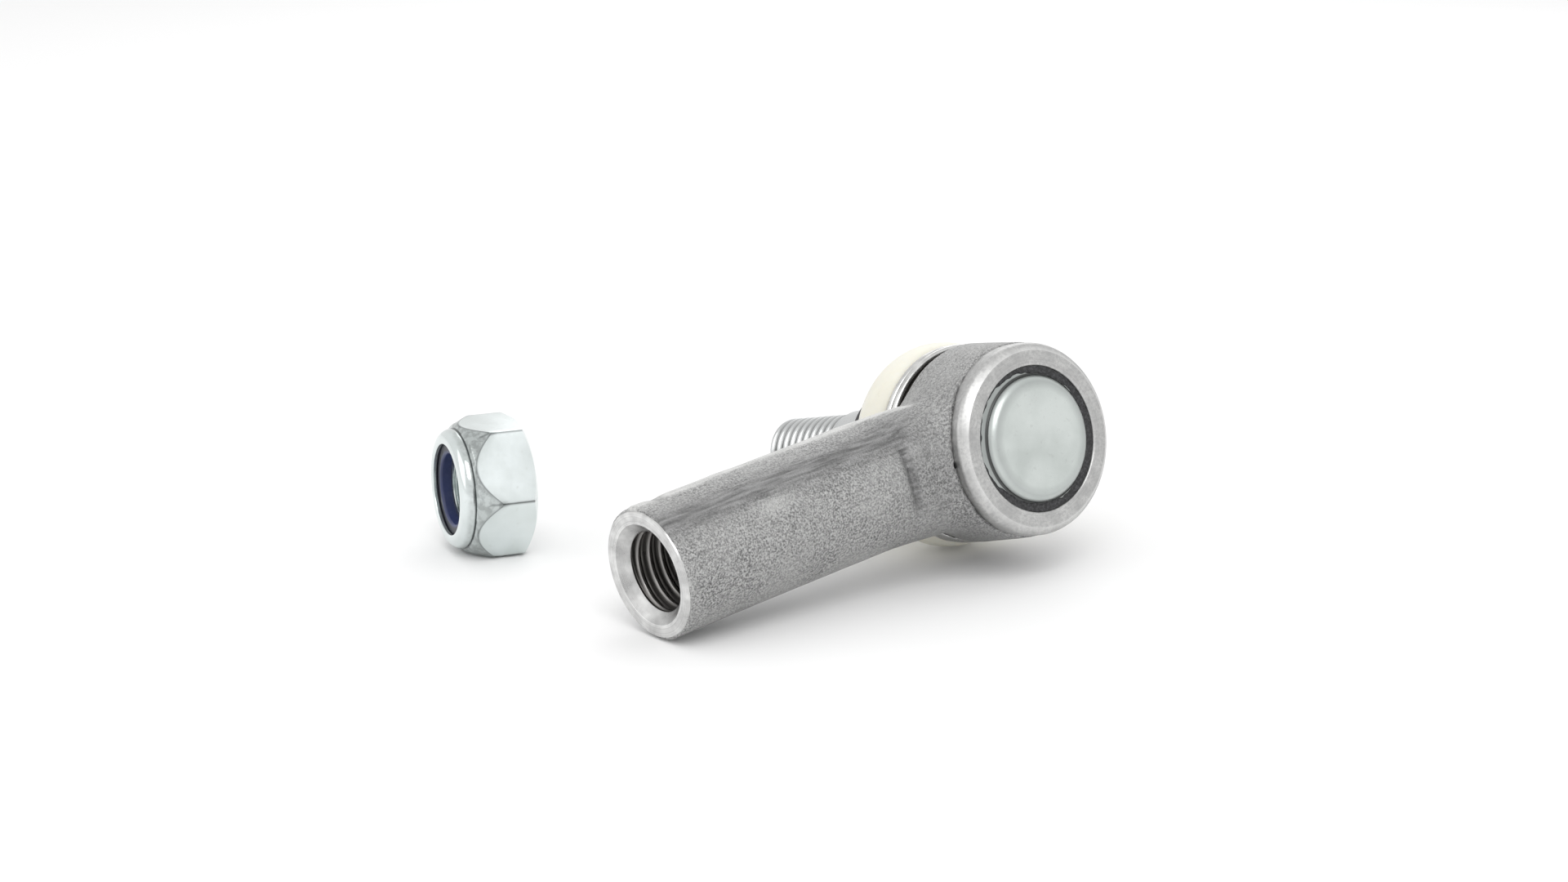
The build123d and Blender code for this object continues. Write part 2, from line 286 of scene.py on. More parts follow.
def points_of(piece, place=Matrix.Identity(4)):
    """Points of a piece in a local frame, in millimetres."""
    back = place.inverted()
    return np.array([back @ vertex.co for vertex in piece.data.vertices]) / MM


def new_material(name):
    """Node material with its Principled shader and its node tree."""
    material = bpy.data.materials.new(name)
    material.use_nodes = True
    return material, material.node_tree, material.node_tree.nodes["Principled BSDF"]


def add_node(tree, kind, **settings):
    """Node of a kind, with its properties set."""
    made = tree.nodes.new(kind)
    for key, value in settings.items():
        setattr(made, key, value)
    return made


def new_group(name, inputs, outputs):
    """Shader node group with float or vector sockets: {name: (kind, default)}."""
    group = bpy.data.node_groups.new(name, "ShaderNodeTree")
    for label, (kind, default) in inputs.items():
        socket = group.interface.new_socket(label, in_out="INPUT", socket_type=kind)
        if default is not None:
            socket.default_value = default
    for label, kind in outputs.items():
        group.interface.new_socket(label, in_out="OUTPUT", socket_type=kind)
    return group, add_node(group, "NodeGroupInput"), add_node(group, "NodeGroupOutput")


def place_group(tree, group, **values):
    """Group node in a tree; spaces in socket names are written as underscores."""
    made = add_node(tree, "ShaderNodeGroup", node_tree=group)
    for label, value in values.items():
        made.inputs[label.replace("_", " ")].default_value = value
    return made


def maths(tree, operation, first, second=None, third=None):
    """Math node; each term is a socket or a number. Gives its output socket."""
    made = add_node(tree, "ShaderNodeMath", operation=operation)
    for slot, term in enumerate((first, second, third)):
        if isinstance(term, (int, float)):
            made.inputs[slot].default_value = term
        elif term is not None:
            tree.links.new(term, made.inputs[slot])
    return made.outputs[0]


def ramp(tree, source, *stops):
    """Colour ramp from (position, grey or colour) stops. Gives its colour socket."""
    made = add_node(tree, "ShaderNodeValToRGB")
    while len(made.color_ramp.elements) < len(stops):
        made.color_ramp.elements.new(0.5)
    for element, (position, colour) in zip(made.color_ramp.elements, stops):
        shade = (colour,) * 3 if isinstance(colour, float) else colour
        element.position = position
        element.color = (*shade, 1)
    tree.links.new(source, made.inputs[0])
    return made.outputs[0]


def tint(tree, amount, first, second, blend="MIX"):
    """Mix of two colours; each is a colour or a socket. Gives the mixed colour socket."""
    made = add_node(tree, "ShaderNodeMix", data_type="RGBA", blend_type=blend)
    if isinstance(amount, float):
        made.inputs["Factor"].default_value = amount
    else:
        tree.links.new(amount, made.inputs["Factor"])
    for slot, colour in ((6, first), (7, second)):
        if isinstance(colour, tuple):
            made.inputs[slot].default_value = (*colour, 1)
        else:
            tree.links.new(colour, made.inputs[slot])
    return made.outputs[2]


def bumped(tree, shader, height, distance, strength=1.0):
    """Bumps the shader's normal with a height mask, whose full swing is a distance in metres."""
    made = add_node(tree, "ShaderNodeBump")
    made.inputs["Strength"].default_value = strength
    made.inputs["Distance"].default_value = distance
    tree.links.new(height, made.inputs["Height"])
    tree.links.new(made.outputs["Normal"], shader.inputs["Normal"])


def roughened(tree, shader, mask, swing, base):
    """Roughness that swings with a mask, from a base."""
    tree.links.new(maths(tree, "MULTIPLY_ADD", mask, swing, base), shader.inputs["Roughness"])


def stained(tree, name):
    """Socket that reads a stain of the piece."""
    return add_node(tree, "ShaderNodeAttribute", attribute_name=name).outputs["Fac"]


def local_points(tree, place):
    """Object coordinates turned into a local frame, in millimetres."""
    coordinates = add_node(tree, "ShaderNodeTexCoord")
    turned = add_node(tree, "ShaderNodeMapping", vector_type="TEXTURE")
    turned.inputs["Location"].default_value = place.translation
    turned.inputs["Rotation"].default_value = place.to_euler()
    turned.inputs["Scale"].default_value = (MM, MM, MM)
    tree.links.new(coordinates.outputs["Object"], turned.inputs["Vector"])
    return turned.outputs["Vector"]


# Blasted grain: fine peened dimples, specks, spots where glints are painted, and slow clouds of tone.
blasted_grain, grain_in, grain_out = new_group(
    "blasted_grain",
    {"Vector": ("NodeSocketVector", None), "Grain": ("NodeSocketFloat", 2.6)},
    {
        "Height": "NodeSocketFloat",
        "Specks": "NodeSocketFloat",
        "Sparks": "NodeSocketFloat",
        "Cloud": "NodeSocketFloat",
    },
)
dimples = add_node(blasted_grain, "ShaderNodeTexNoise", noise_dimensions="3D")
dimples.inputs["Detail"].default_value = 4.0
dimples.inputs["Roughness"].default_value = 0.62
pits = add_node(blasted_grain, "ShaderNodeTexVoronoi", feature="F1")
cloud = add_node(blasted_grain, "ShaderNodeTexNoise", noise_dimensions="3D")
cloud.inputs["Scale"].default_value = 0.16
cloud.inputs["Detail"].default_value = 5.0
for texture in (dimples, pits, cloud):
    blasted_grain.links.new(grain_in.outputs["Vector"], texture.inputs["Vector"])
blasted_grain.links.new(grain_in.outputs["Grain"], dimples.inputs["Scale"])
pit_scale = maths(blasted_grain, "MULTIPLY", grain_in.outputs["Grain"], 1.3)
blasted_grain.links.new(pit_scale, pits.inputs["Scale"])
pit_share = 0.55
rough_height = maths(
    blasted_grain, "MULTIPLY_ADD", pits.outputs["Distance"], pit_share, dimples.outputs["Fac"]
)
blasted_grain.links.new(rough_height, grain_out.inputs["Height"])
blasted_grain.links.new(dimples.outputs["Fac"], grain_out.inputs["Specks"])
blasted_grain.links.new(cloud.outputs["Fac"], grain_out.inputs["Cloud"])
blasted_grain.links.new(pits.outputs["Distance"], grain_out.inputs["Sparks"])


def laid_group(tree, group, place, **values):
    """Group laid out over a piece in a local frame. Gives the group's outputs."""
    made = place_group(tree, group, **values)
    tree.links.new(local_points(tree, place), made.inputs["Vector"])
    return made.outputs


def graded(tree, mask, low, high, dark, light):
    """Colour that goes from dark to light as a mask goes from low to high."""
    return tint(tree, ramp(tree, mask, (low, 0.0), (high, 1.0)), dark, light)


def grained_finish(name, place, size, tone, gloss, depth, strength=0.5, metallic=0.0):
    """Material with blasted grain. Tone is (mask, low, high, dark, light) and gloss is
    (mask, swing, base), where the mask names an output of the grain."""
    material, tree, shader = new_material(name)
    shader.inputs["Metallic"].default_value = metallic
    grain = laid_group(tree, blasted_grain, place, Grain=size)
    colour = graded(tree, grain[tone[0]], *tone[1:])
    tree.links.new(colour, shader.inputs["Base Color"])
    roughened(tree, shader, grain[gloss[0]], *gloss[1:])
    bumped(tree, shader, grain["Height"], depth * MM, strength)
    return material, tree, shader, grain, colour


forged_steel, tree, shader, grain, tone = grained_finish(
    "forged_steel",
    stud_frame,
    3.9,
    tone=("Specks", 0.38, 0.62, (0.13, 0.13, 0.13), (0.56, 0.56, 0.555)),
    gloss=("Specks", 0.25, 0.38),
    depth=0.16,
    strength=0.9,
    metallic=0.85,
)
clouds = ramp(tree, grain["Cloud"], (0.38, 0.0), (0.62, 1.0))
tone = tint(tree, maths(tree, "MULTIPLY", clouds, 0.35), tone, (0.50, 0.50, 0.495))
# Painted glints: small bright spots over the grain.
painted_glints = ramp(tree, grain["Sparks"], (0.0, 1.0), (0.09, 0.0))
tone = tint(tree, maths(tree, "MULTIPLY", painted_glints, 0.55), tone, (0.75, 0.75, 0.74))
# Long brush streaks and painted shade, darker over the upper side, in the die crease, at the neck's root and a
# little over the head, and the bright trimmed flash land.
stretched = add_node(tree, "ShaderNodeMapping")
stretched.inputs["Scale"].default_value = (0.12, 1.0, 1.0)
tree.links.new(local_points(tree, stud_frame), stretched.inputs["Vector"])
streaks = add_node(tree, "ShaderNodeTexNoise")
streaks.inputs["Scale"].default_value = 2.2
streaks.inputs["Detail"].default_value = 5.0
tree.links.new(stretched.outputs["Vector"], streaks.inputs["Vector"])
streak_tone = ramp(tree, streaks.outputs["Fac"], (0.35, 0.11), (0.65, 0.30))
tone = tint(tree, maths(tree, "MULTIPLY", stained(tree, "brushed_and_shade"), 0.85), tone, streak_tone)
ragged = maths(tree, "MULTIPLY_ADD", streaks.outputs["Fac"], 2.4, -0.3)
land_mask = maths(tree, "MULTIPLY", stained(tree, "trimmed"), ragged)
tone = tint(tree, land_mask, tone, (0.66, 0.66, 0.65))
tree.links.new(tone, shader.inputs["Base Color"])

skin_low = (-boot_gap_radius, -boot_gap_radius, -skin_margin)
skin_high = (skin_end, boot_gap_radius, skin_margin)
verts, quads = skin(forged_body, skin_low, skin_high, skin_step)
housing_forging = laid_mesh("housing_forging", verts, quads, stud_frame)
x, y, z = verts.T
turn = np.degrees(np.arctan2(-z, y))
side_wall = smooth_step(np.hypot(x, y), 12.0, 12.5) * smooth_step(14.0 - x, 0.5, 2.0)
# Painted shade: the upper side, the neck's root, the head's wall and the die crease are darkened along with the
# brush streaks.
upper = bell(turn, 42, 17) * smooth_step(x, 14.0, 19.0)
neck_root = 0.45 * bell(x, 14.5, 5.0)
head_wall = 0.28 * smooth_step(12.6 - x, 0.0, 3.0)
rub_mark = 0.4 * bell(x, 39, 3.5) * bell(turn, 63, 7)
stain(housing_forging, "brushed_and_shade", np.clip(upper + neck_root + head_wall + die_crease(x, y, z), 0, 1))
land = (flash_land(x, y, z) + 0.15 * side_wall) * (y > 0)
stain(housing_forging, "trimmed", np.clip(land + rub_mark, 0, 1))
housing_forging.data.materials.append(forged_steel)
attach(housing_forging, "housing")
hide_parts("housing")

# ---------------------------------------------------------------------------------------------
# Machined seat of the head: turned collar, rolled lip that holds the cap, bore for the shells,
# and the grooved neck on the far side that the boot is clamped on. Bright turned steel.
# ---------------------------------------------------------------------------------------------
collar_radius = 12.35
lip_face = -11.25
worn_height, worn_width, worn_depth = -8.6, 0.9, 0.03


def eased(corners, parts=6):
    """Outline of (radius, height, rounding) corners with arcs in place of the rounded ones."""
    points = []
    total = len(corners)
    for index, (across, along, rounding) in enumerate(corners):
        here = np.array((across, along), float)
        if not rounding:
            points.append(here)
            continue
        before = np.array(corners[index - 1][:2], float) - here
        after = np.array(corners[(index + 1) % total][:2], float) - here
        before /= np.linalg.norm(before)
        after /= np.linalg.norm(after)
        half = 0.5 * math.acos(np.clip(before @ after, -1, 1))
        back = rounding / math.tan(half)
        centre = here + (before + after) / np.linalg.norm(before + after) * rounding / math.sin(half)
        start, stop = here + before * back, here + after * back
        points.append(start + before * 0.04)
        first = math.atan2(*(start - centre)[::-1])
        sweep = math.atan2(*(stop - centre)[::-1]) - first
        sweep = (sweep + math.pi) % (2 * math.pi) - math.pi
        for part in range(parts + 1):
            angle = first + sweep * part / parts
            points.append(centre + rounding * np.array((math.cos(angle), math.sin(angle))))
        points.append(stop + after * 0.04)
    return np.array(points)


def spun(name, outline, place, columns=192, ripple=None, closed=True, sharp=38):
    """Turned piece: an outline of (radius, height) points spun about the local Z axis.
    A ripple function moves points given as (angle, radius, height) arrays."""
    angle = np.arange(columns) * 2 * math.pi / columns
    radius = np.tile(outline[:, 0][:, None], (1, columns))
    height = np.tile(outline[:, 1][:, None], (1, columns))
    around = np.tile(angle[None, :], (len(outline), 1))
    if ripple:
        radius, height = ripple(around, radius, height)
    verts = np.stack([radius * np.cos(around), radius * np.sin(around), height], -1).reshape(-1, 3)
    rows = len(outline)
    faces = []
    for row in range(rows if closed else rows - 1):
        nxt = (row + 1) % rows
        if outline[row, 0] < 1e-6 and outline[nxt, 0] < 1e-6:
            continue
        for column in range(columns):
            side = (column + 1) % columns
            near, far = row * columns, nxt * columns
            faces.append([near + column, near + side, far + side, far + column])
    piece = laid_mesh(name, verts, faces, Matrix.Identity(4))
    cleaned = bmesh.new()
    cleaned.from_mesh(piece.data)
    bmesh.ops.remove_doubles(cleaned, verts=cleaned.verts, dist=1e-7)
    bmesh.ops.recalc_face_normals(cleaned, faces=cleaned.faces)
    cleaned.to_mesh(piece.data)
    cleaned.free()
    piece.data.transform(place)
    piece.data.shade_smooth()
    piece.data.set_sharp_from_angle(angle=math.radians(sharp))
    return piece


# A colour ramp along a radius runs from the axis, 0, to this many millimetres out, 1.
RAMP_REACH = 10.0

# Turning marks: fine rings that the lathe leaves, read from the distance to the turned axis.
turning_marks, marks_in, marks_out = new_group(
    "turning_marks",
    {"Vector": ("NodeSocketVector", None), "Rings": ("NodeSocketFloat", 9.0)},
    {"Height": "NodeSocketFloat", "Streak": "NodeSocketFloat", "Radius": "NodeSocketFloat"},
)
parts = add_node(turning_marks, "ShaderNodeSeparateXYZ")
turning_marks.links.new(marks_in.outputs["Vector"], parts.inputs[0])
square = maths(turning_marks, "MULTIPLY", parts.outputs["X"], parts.outputs["X"])
square = maths(turning_marks, "MULTIPLY_ADD", parts.outputs["Y"], parts.outputs["Y"], square)
from_axis = maths(turning_marks, "SQRT", square)
along_axis = maths(turning_marks, "MULTIPLY", parts.outputs["Z"], 1.7)
ring_place = maths(turning_marks, "ADD", from_axis, along_axis)
rings = add_node(turning_marks, "ShaderNodeTexNoise", noise_dimensions="1D")
rings.inputs["Detail"].default_value = 3.0
turning_marks.links.new(ring_place, rings.inputs["W"])
turning_marks.links.new(marks_in.outputs["Rings"], rings.inputs["Scale"])
smears = add_node(turning_marks, "ShaderNodeTexNoise", noise_dimensions="3D")
smears.inputs["Scale"].default_value = 0.5
smears.inputs["Detail"].default_value = 6.0
turning_marks.links.new(marks_in.outputs["Vector"], smears.inputs["Vector"])
turning_marks.links.new(rings.outputs["Fac"], marks_out.inputs["Height"])
turning_marks.links.new(smears.outputs["Fac"], marks_out.inputs["Streak"])
turning_marks.links.new(from_axis, marks_out.inputs["Radius"])


def machined_finish(name, place, dark, light, roughness, rings=9.0, depth=0.012):
    """Turned metal with rings, slow smears of tone and uneven gloss."""
    material, tree, shader = new_material(name)
    shader.inputs["Metallic"].default_value = 1.0
    marks = laid_group(tree, turning_marks, place, Rings=rings)
    smear = ramp(tree, marks["Streak"], (0.35, 0.0), (0.65, 1.0))
    tone = tint(tree, smear, dark, light)
    ring_tone = ramp(tree, marks["Height"], (0.3, 0.82), (0.7, 1.0))
    tone = tint(tree, 1.0, tone, ring_tone, "MULTIPLY")
    tree.links.new(tone, shader.inputs["Base Color"])
    roughened(tree, shader, marks["Streak"], 0.25, roughness - 0.12)
    bumped(tree, shader, marks["Height"], depth * MM, 0.8)
    return material, tree, shader, tone


turned_steel, tree, shader, turned_tone = machined_finish(
    "turned_steel", stud_frame, (0.50, 0.50, 0.495), (0.64, 0.64, 0.63), 0.40
)
# Painted shade: the recess under the boot's lip is painted near black and not metallic.
recess_shade = stained(tree, "recess_shade")
grain = laid_group(tree, blasted_grain, stud_frame, Grain=2.4)
specks = ramp(tree, grain["Specks"], (0.36, 0.25), (0.56, 1.0))
mottled = tint(tree, specks, (0.40, 0.40, 0.40), turned_tone)
# Painted highlight: a bright ring along the rounded edge of the lip's face.
mottled = tint(tree, stained(tree, "rim_highlight"), mottled, (0.93, 0.93, 0.92))
recess_shaded_tone = tint(tree, recess_shade, mottled, (0.02, 0.019, 0.018))
tree.links.new(recess_shaded_tone, shader.inputs["Base Color"])
tree.links.new(maths(tree, "SUBTRACT", 1.0, recess_shade), shader.inputs["Metallic"])


def worn_collar(around, radius, height):
    """The collar's edge next to the forging is torn and uneven."""
    near = bell(height, worn_height, worn_width) * (radius > collar_radius - 0.6)
    swing = sum(np.sin(around * turns + turns) for turns in (5, 11, 23, 41))
    return radius + worn_depth * near * swing, height


seat_outline = eased(
    [
        (9.35, -10.05, 0),
        (9.9, -10.05, 0),
        (9.9, 1.4, 0),
        (7.7, 4.32, 0),
        (7.7, 5.2, 0.15),
        (11.3, 5.2, 0.25),
        (11.3, 4.4, 0),
        (10.8, 4.4, 0),
        (10.8, 1.6, 0),
        (11.3, 1.6, 0),
        (11.3, 0.55, 0),
        (10.4, 0.55, 0),
        (10.4, -7.7, 0),
        (collar_radius, -7.7, 0),
        (collar_radius, -10.35, 0.9),
        (11.3, lip_face, 0.14),
        (9.35, lip_face, 0.3),
    ]
)
housing_seat = spun("housing_seat", seat_outline, stud_frame, 256, worn_collar)
seat_points = points_of(housing_seat, stud_frame)
# Painted shade in the recess of the neck, between the collar and the boot's lip.
recess = smooth_step(seat_points[:, 2], 0.3, 0.9) * smooth_step(-seat_points[:, 2], -5.0, -4.2)
stain(housing_seat, "recess_shade", recess)
# Painted highlight along the rounded outer edge of the lip's face.
rim_radius = 11.5
from_axis = np.hypot(seat_points[:, 0], seat_points[:, 1])
rim_gap = np.hypot(from_axis - rim_radius, seat_points[:, 2] - lip_face - 0.12)
stain(housing_seat, "rim_highlight", 0.5 * smooth_step(-rim_gap, -0.3, -0.05))
housing_seat.data.materials.append(turned_steel)
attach(housing_seat, "housing")
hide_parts("housing")

# ---------------------------------------------------------------------------------------------
# Socket end of the shank: faced end with a polished countersink, tapped M12 x 1.75 inside.
# The thread is cut into the bore by a Geometry Nodes tree that the stud and nut share.
# ---------------------------------------------------------------------------------------------
socket_pitch = 1.75
socket_minor = 5.1
socket_major = 6.0
countersink_radius = 6.48


def new_tree(name, lengths, takes_mesh):
    """Geometry Nodes group with named inputs. Gives the group, its inputs and its end node."""
    group = bpy.data.node_groups.new(name, "GeometryNodeTree")
    if takes_mesh:
        group.interface.new_socket("Geometry", in_out="INPUT", socket_type="NodeSocketGeometry")
    for label, default in lengths.items():
        made = group.interface.new_socket(label, in_out="INPUT", socket_type="NodeSocketFloat")
        made.default_value = default
    group.interface.new_socket("Finish", in_out="INPUT", socket_type="NodeSocketMaterial")
    group.interface.new_socket("Geometry", in_out="OUTPUT", socket_type="NodeSocketGeometry")
    return group, add_node(group, "NodeGroupInput").outputs, add_node(group, "NodeGroupOutput")


def end_tree(group, geometry, finish, result):
    """Ends a Geometry Nodes group: Realize Instances, then Set Material."""
    real = add_node(group, "GeometryNodeRealizeInstances")
    group.links.new(geometry, real.inputs[0])
    dressed = add_node(group, "GeometryNodeSetMaterial")
    group.links.new(real.outputs[0], dressed.inputs["Geometry"])
    group.links.new(finish, dressed.inputs["Material"])
    group.links.new(dressed.outputs[0], result.inputs[0])


def clamped(tree, value):
    """Value held between 0 and 1."""
    return maths(tree, "MINIMUM", maths(tree, "MAXIMUM", value, 0.0), 1.0)


def make_thread_cutter():
    """Geometry Nodes tree that presses a screw thread into a turned surface about local Z.
    Side is 1 for a thread cut into a rod and -1 for a thread cut into a hole."""
    lengths = {
        "Side": 1.0,
        "Radius": 0.005,
        "Depth": 0.0008,
        "Pitch": 0.0015,
        "Start": 0.0,
        "End": 0.01,
        "Run Out": 0.001,
    }
    group, given, result = new_tree("thread_cutter", lengths, takes_mesh=True)
    place = add_node(group, "GeometryNodeInputPosition")
    split = add_node(group, "ShaderNodeSeparateXYZ")
    group.links.new(place.outputs[0], split.inputs[0])
    x, y, z = split.outputs
    angle = maths(group, "ARCTAN2", y, x)
    turns = maths(group, "DIVIDE", angle, 2 * math.pi)
    steps = maths(group, "DIVIDE", z, given["Pitch"])
    phase = maths(group, "FRACT", maths(group, "ADD", maths(group, "SUBTRACT", steps, turns), 100.0))
    ridge = maths(group, "ABSOLUTE", maths(group, "MULTIPLY_ADD", phase, 2.0, -1.0))
    groove = maths(group, "DIVIDE", maths(group, "SUBTRACT", 0.92, ridge), 0.86)
    groove = clamped(group, groove)
    ease = maths(group, "MULTIPLY_ADD", groove, -2.0, 3.0)
    groove = maths(group, "MULTIPLY", maths(group, "MULTIPLY", groove, groove), ease)
    past_start = maths(group, "SUBTRACT", z, given["Start"])
    short_of_end = maths(group, "SUBTRACT", given["End"], z)
    rise = clamped(group, maths(group, "DIVIDE", past_start, given["Run Out"]))
    fall = clamped(group, maths(group, "DIVIDE", short_of_end, given["Run Out"]))
    run = maths(group, "MULTIPLY", rise, fall)
    cut = maths(group, "MULTIPLY", maths(group, "MULTIPLY", groove, given["Depth"]), run)
    square = maths(group, "MULTIPLY_ADD", y, y, maths(group, "MULTIPLY", x, x))
    radius = maths(group, "SQRT", square)
    signed = maths(group, "MULTIPLY", radius, given["Side"])
    wall = maths(group, "SUBTRACT", maths(group, "MULTIPLY", given["Radius"], given["Side"]), cut)
    wanted = maths(group, "MULTIPLY", maths(group, "MINIMUM", signed, wall), given["Side"])
    ratio = maths(group, "DIVIDE", wanted, maths(group, "MAXIMUM", radius, 1e-6))
    moved = add_node(group, "ShaderNodeCombineXYZ")
    group.links.new(maths(group, "MULTIPLY", x, ratio), moved.inputs[0])
    group.links.new(maths(group, "MULTIPLY", y, ratio), moved.inputs[1])
    group.links.new(z, moved.inputs[2])
    after_start = maths(group, "GREATER_THAN", z, given["Start"])
    before_end = maths(group, "LESS_THAN", z, given["End"])
    # Only the threaded wall moves: points no further from it than just over the thread's depth.
    gap = maths(group, "ABSOLUTE", maths(group, "SUBTRACT", radius, given["Radius"]))
    close = maths(group, "LESS_THAN", gap, maths(group, "MULTIPLY", given["Depth"], 1.1))
    chosen = maths(group, "MULTIPLY", maths(group, "MULTIPLY", after_start, before_end), close)
    shift = add_node(group, "GeometryNodeSetPosition")
    group.links.new(given["Geometry"], shift.inputs["Geometry"])
    group.links.new(moved.outputs[0], shift.inputs["Position"])
    group.links.new(chosen, shift.inputs["Selection"])
    end_tree(group, shift.outputs[0], given["Finish"], result)
    return group


thread_cutter = make_thread_cutter()


def run_nodes(piece, group, **values):
    """Runs a Geometry Nodes group on a piece and keeps the result as a plain mesh."""
    modifier = piece.modifiers.new(group.name, "NODES")
    modifier.node_group = group
    for item in group.interface.items_tree:
        key = item.name.replace(" ", "_")
        if item.item_type == "SOCKET" and item.in_out == "INPUT" and key in values:
            modifier[item.identifier] = values[key]
    ready = piece.evaluated_get(bpy.context.evaluated_depsgraph_get())
    made = bpy.data.meshes.new_from_object(ready)
    piece.modifiers.clear()
    piece.data = made
    return piece


def along(low, high, step):
    """Evenly spaced heights from low to high."""
    return np.linspace(low, high, max(2, int(round(abs(high - low) / step)) + 1))


faced_end = 55.0
thread_top = faced_end - (countersink_radius - socket_minor)
thread_wall = along(thread_top - 24.0, thread_top - 0.05, socket_pitch / 14)
socket_outline = np.vstack(
    [
        [(7.4, 23.0), (0.0, 23.0), (0.0, 27.0), (socket_minor, 30.0 - 0.2)],
        [(socket_minor, height) for height in thread_wall],
        [(socket_minor + step, thread_top + step) for step in np.linspace(0.03, 1.3, 12)],
        [(countersink_radius, 54.98), (countersink_radius + 0.12, faced_end)],
        [(7.75, faced_end), (7.98, 54.9), (8.05, 54.7)],
        [(7.6, 54.2), (7.4, 54.0)],
    ]
)
socket_steel, tree, shader, faced_tone = machined_finish(
    "socket_steel", shank_frame, (0.62, 0.62, 0.615), (0.90, 0.90, 0.89), 0.3, rings=7.0, depth=0.02
)
marks = laid_group(tree, turning_marks, shank_frame, Rings=7.0)
reach = maths(tree, "DIVIDE", marks["Radius"], RAMP_REACH)
# Painted shade down the tapped bore, darkest in the thread's roots.
crest = ramp(tree, reach, (0.512, 1.0), (0.545, 0.0))
bore_shade_tone = tint(tree, crest, (0.11, 0.105, 0.10), (0.34, 0.33, 0.32))
# Painted shade makes the countersink a little darker than the faced end, with a painted highlight along the edge
# between.
countersink_shading = ramp(tree, reach, (0.62, 0.76), (0.638, 0.70), (0.645, 1.0), (0.662, 1.0), (0.672, 0.90))
cut_tone = tint(tree, 1.0, faced_tone, countersink_shading, "MULTIPLY")
dark_tone = tint(tree, stained(tree, "tapped"), cut_tone, bore_shade_tone)
tree.links.new(dark_tone, shader.inputs["Base Color"])
housing_socket = spun("housing_socket", socket_outline, Matrix.Identity(4), 144)
heights = points_of(housing_socket)[:, 2]
stain(housing_socket, "tapped", smooth_step(thread_top - heights, -0.12, 0.1))
run_nodes(
    housing_socket,
    thread_cutter,
    Side=-1.0,
    Radius=socket_minor * MM,
    Depth=(socket_major - socket_minor) * MM,
    Pitch=socket_pitch * MM,
    Start=30.2 * MM,
    End=(thread_top - 0.1) * MM,
    Run_Out=0.5 * MM,
    Finish=socket_steel,
)
housing_socket.data.transform(shank_frame)
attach(housing_socket, "housing")
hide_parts("housing")

# ---------------------------------------------------------------------------------------------
# Ball stud: one cold-formed steel piece with a polished ball, a 1 in 10 taper and a rolled
# M10 x 1.5 thread, zinc plated outside the joint.
# ---------------------------------------------------------------------------------------------
stud_pitch = 1.5
stud_major, stud_depth = 5.0, 0.85
thread_start, thread_tip = 26.5, 41.7
ball_radius, ball_flat, neck_radius = 8.0, -7.1, 4.2
arc_ends = math.asin(ball_flat / ball_radius), math.acos(neck_radius / ball_radius)
ball_arc = [
    (ball_radius * math.cos(angle), ball_radius * math.sin(angle))
    for angle in np.linspace(*arc_ends, 40)
]
stud_outline = np.vstack(
    [
        [(0.0, ball_flat)],
        ball_arc,
        eased(
            [
                (neck_radius, 6.8, 0),
                (neck_radius, 9.5, 0.8),
                (6.0, 12.0, 0.5),
                (6.0, 14.0, 0),
                (5.4, 26.0, 0),
            ]
        ),
        [(stud_major + 0.02, 26.35)],
        [(stud_major, height) for height in along(thread_start, thread_tip - 0.85, stud_pitch / 20)],
        [(stud_major - rise, thread_tip - 0.8 + rise) for rise in np.linspace(0.02, 0.8, 8)],
        [(1.3, thread_tip), (0.0, thread_tip - 0.9)],
    ]
)
stud_zinc, tree, shader = new_material("stud_zinc")
shader.inputs["Metallic"].default_value = 0.95
grain = laid_group(tree, blasted_grain, stud_frame, Grain=1.6)
marks = laid_group(tree, turning_marks, stud_frame, Rings=5.0)
# Painted shade: the thread's flanks and roots, and every part as thin as the neck, are much darker than the
# crests.
crest = ramp(tree, maths(tree, "DIVIDE", marks["Radius"], RAMP_REACH), (0.425, 0.0), (0.49, 1.0))
flank = tint(tree, grain["Specks"], (0.05, 0.05, 0.05), (0.12, 0.12, 0.115))
bright = tint(tree, grain["Cloud"], (0.44, 0.45, 0.45), (0.66, 0.67, 0.67))
tree.links.new(tint(tree, crest, flank, bright), shader.inputs["Base Color"])
roughened(tree, shader, grain["Specks"], 0.25, 0.18)
bumped(tree, shader, grain["Height"], 0.015 * MM, 0.5)
ball_stud = spun("stud_body", stud_outline, Matrix.Identity(4), 176, closed=False)
run_nodes(
    ball_stud,
    thread_cutter,
    Side=1.0,
    Radius=stud_major * MM,
    Depth=stud_depth * MM,
    Pitch=stud_pitch * MM,
    Start=thread_start * MM,
    End=(thread_tip + 2.0) * MM,
    Run_Out=1.2 * MM,
    Finish=stud_zinc,
)
ball_stud.data.transform(stud_frame)
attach(ball_stud, "stud")
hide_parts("ball_stud")

